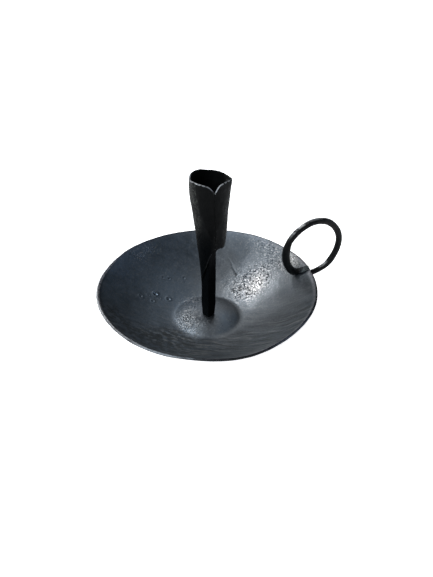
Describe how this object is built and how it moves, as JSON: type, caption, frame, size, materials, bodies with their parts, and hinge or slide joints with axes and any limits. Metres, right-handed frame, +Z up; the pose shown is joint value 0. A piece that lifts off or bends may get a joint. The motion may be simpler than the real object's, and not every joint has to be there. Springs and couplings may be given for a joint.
{
  "type": "candle dish",
  "caption": "Forged candle dish: shallow raised round pan, square stem rolled into a tapered candle socket with an open seam, and a riveted finger ring at the rim.",
  "frame": {"origin": "on the pan's axis, in the plane that the foot ring stands on", "axes": "+Z up along the pan's axis; +X from the pan's axis towards the finger ring"},
  "size_m": [0.1777, 0.15, 0.11],
  "materials": {
    "pan_steel": "dark blue-grey heat scale rubbed back to a dull sheen, with pits and straight brush marks",
    "socket_iron": "near-black forge scale, with bright worn metal on the lip's edge",
    "ring_iron": "black forge scale rubbed on the outer curve",
    "rivet_iron": "black forge scale, rubbed on the head"
  },
  "bodies": {
    "root": {"pan": "pan_steel", "candle_socket": "socket_iron", "ring_handle": "ring_iron", "handle_rivet": "rivet_iron"}
  },
  "joints": []
}
